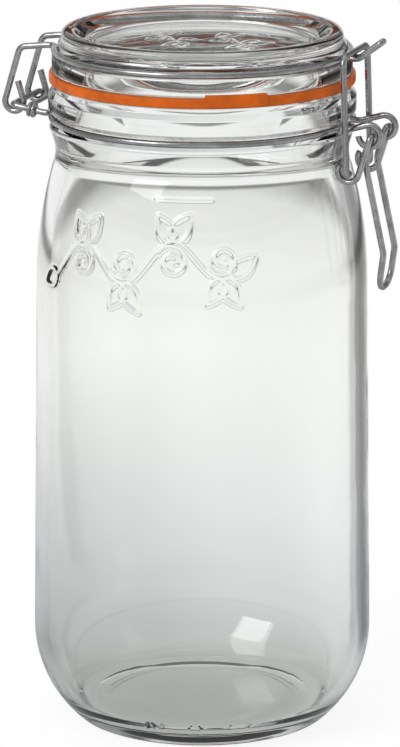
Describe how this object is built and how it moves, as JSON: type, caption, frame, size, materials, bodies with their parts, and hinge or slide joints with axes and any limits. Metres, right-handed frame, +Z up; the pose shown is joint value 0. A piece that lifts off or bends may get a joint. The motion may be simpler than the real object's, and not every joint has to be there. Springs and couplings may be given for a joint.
{
  "type": "clip-top glass preserving jar",
  "caption": "Glass preserving jar with a domed-rim glass lid on a rubber seal, held shut by a sprung wire lever and hinged at the back on a wire ring round its neck.",
  "frame": {"origin": "On the jar's own axis, in the plane of the standing ring that the jar rests on.", "axes": "+Z up along the jar's axis, -Z out of the base; +X towards the clip, the link and the lever, -X towards the lid's hinge; Y across, along the hinge's axis."},
  "size_m": [0.1303, 0.1116, 0.231],
  "materials": {
    "clear_glass": "gloss",
    "lid_glass": "gloss",
    "seal_rubber": "satin",
    "zinc_wire": "bright zinc plate"
  },
  "bodies": {
    "jar": {"jar_glass": "clear_glass", "neck_ring": "zinc_wire", "hinge_tie": "zinc_wire"},
    "lid": {"glass_lid": "lid_glass", "rubber_seal": "seal_rubber", "lid_ring": "zinc_wire"},
    "link": {"link": "zinc_wire"},
    "lever": {"lever": "zinc_wire"}
  },
  "joints": [
    {"name": "lid_hinge", "type": "hinge", "parent": "jar", "child": "lid", "pos_m": [-0.06137, 0, 0.20397], "axis": [0, -1, 0], "range_deg": [0, 110]},
    {"name": "lever_pivot", "type": "hinge", "parent": "jar", "child": "lever", "pos_m": [0.06037, 0, 0.20067], "axis": [0, -1, 0], "range_deg": [0, 90]},
    {"name": "link_swing", "type": "hinge", "parent": "lid", "child": "link", "pos_m": [0.05182, 0, 0.22631], "axis": [0, -1, 0], "range_deg": [0, 29]}
  ],
  "couplings": [
    {"joint": "link_swing", "follows": "lever_pivot", "ratio": 0.316}
  ]
}
